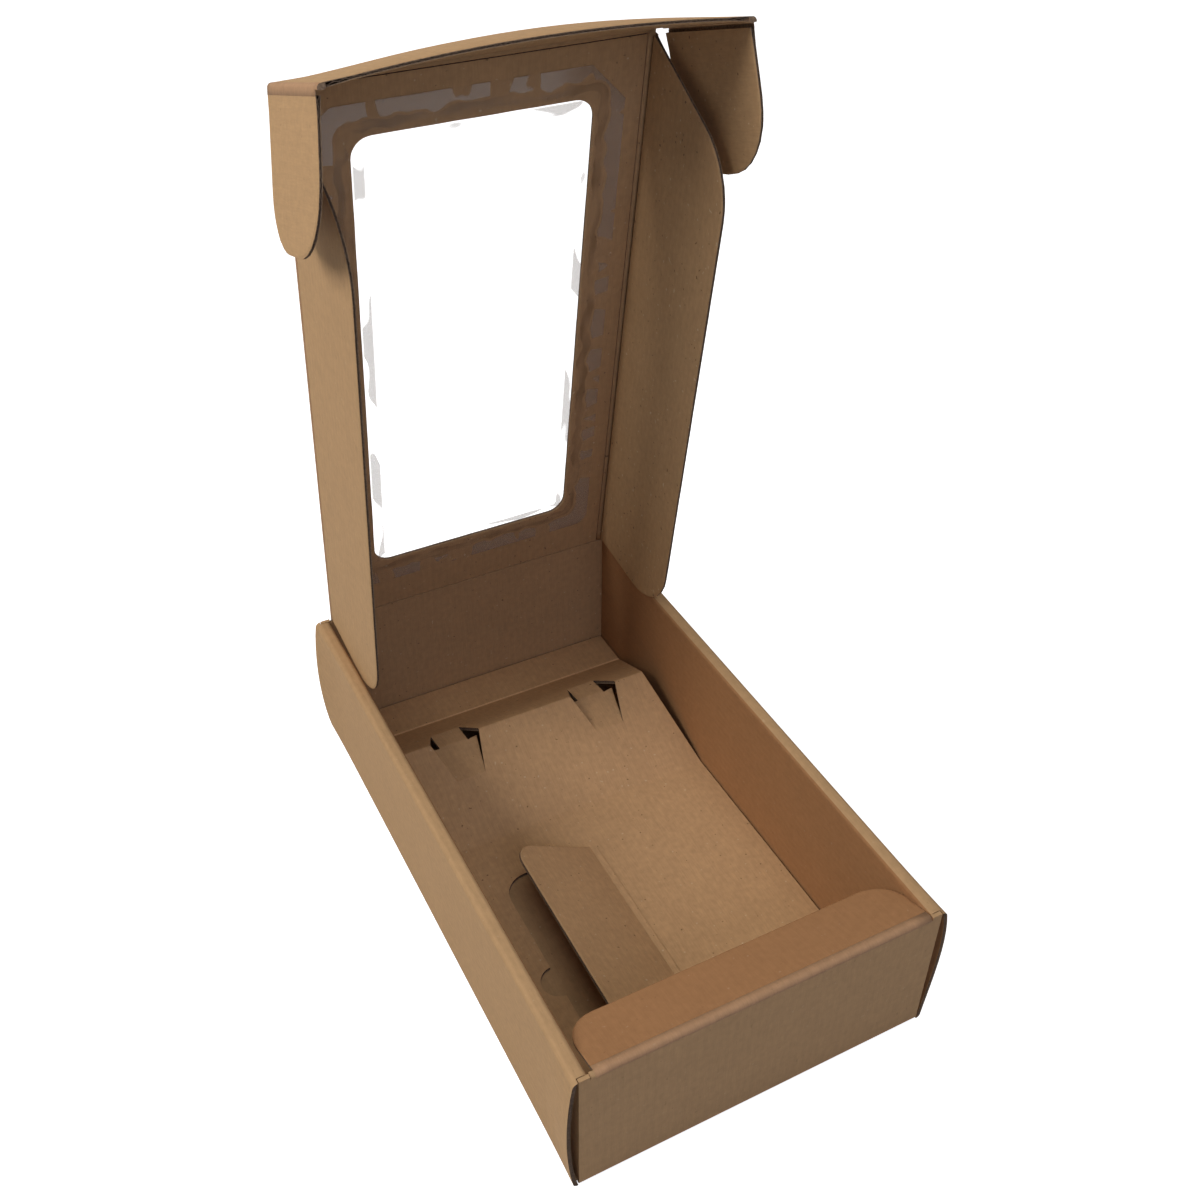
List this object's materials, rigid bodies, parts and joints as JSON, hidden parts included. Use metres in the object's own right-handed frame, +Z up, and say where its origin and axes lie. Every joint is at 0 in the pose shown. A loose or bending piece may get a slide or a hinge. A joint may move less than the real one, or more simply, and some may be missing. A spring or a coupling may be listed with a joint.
{
  "type": "windowed bottle gift box",
  "caption": "Open corrugated gift box with rolled side walls, a film window in its hinged lid and a folded insert that cradles bottles lying down.",
  "frame": {"origin": "middle of the tray's underside, on the surface it stands on", "axes": "+X to the right seen from the front lip, +Y to the hinged back wall, +Z up"},
  "size_m": [0.1635, 0.268, 0.3446],
  "materials": {
    "kraft_tray": "matte brown kraft liner over E flute board",
    "kraft_lip": "matte brown kraft liner, outer face",
    "kraft_lid": "matte flecked kraft liner, inner face",
    "kraft_flap": "matte brown kraft liner",
    "kraft_insert": "matte flecked kraft liner",
    "window_film": "thin clear glossy film, slightly wavy"
  },
  "bodies": {
    "tray": {"tray": "kraft_tray", "insert": "kraft_insert"},
    "lip": {"front_lip": "kraft_lip"},
    "lid": {"lid_panel": "kraft_lid", "window_film": "window_film"},
    "left_flap": {"lid_flap_left": "kraft_flap"},
    "right_flap": {"lid_flap_right": "kraft_flap"},
    "tuck": {"tuck_flap": "kraft_flap"},
    "left_ear": {"tuck_ear_left": "kraft_flap"},
    "right_ear": {"tuck_ear_right": "kraft_flap"},
    "divider": {"divider_flap": "kraft_insert"}
  },
  "joints": [
    {"name": "lid_hinge", "type": "hinge", "parent": "tray", "child": "lid", "pos_m": [0, 0.1324, 0.0654], "axis": [-1, 0, 0], "range_deg": [-65.5, 98.5]},
    {"name": "left_flap_crease", "type": "hinge", "parent": "lid", "child": "left_flap", "pos_m": [-0.0697, 0.1324, 0.0654], "axis": [0, 0.1478, -0.989], "range_deg": [-80, 0]},
    {"name": "right_flap_crease", "type": "hinge", "parent": "lid", "child": "right_flap", "pos_m": [0.0697, 0.1324, 0.0654], "axis": [0, -0.1478, 0.989], "range_deg": [-80, 0]},
    {"name": "tuck_crease", "type": "hinge", "parent": "lid", "child": "tuck", "pos_m": [0, 0.09354, 0.32541], "axis": [-1, 0, 0], "range_deg": [-31, 65]},
    {"name": "left_ear_crease", "type": "hinge", "parent": "tuck", "child": "left_ear", "pos_m": [-0.0739, 0.09354, 0.32541], "axis": [0, 0.9588, -0.284], "range_deg": [-11, 80]},
    {"name": "right_ear_crease", "type": "hinge", "parent": "tuck", "child": "right_ear", "pos_m": [0.0739, 0.09354, 0.32541], "axis": [0, -0.9588, 0.284], "range_deg": [-5, 86]},
    {"name": "lip_crease", "type": "hinge", "parent": "tray", "child": "lip", "pos_m": [0, -0.1324, 0.0654], "axis": [1, 0, 0], "range_deg": [-58.5, 126.5]},
    {"name": "divider_crease", "type": "hinge", "parent": "tray", "child": "divider", "pos_m": [0, -0.049, 0.0032], "axis": [0, 1, 0], "range_deg": [-29, 60]}
  ]
}
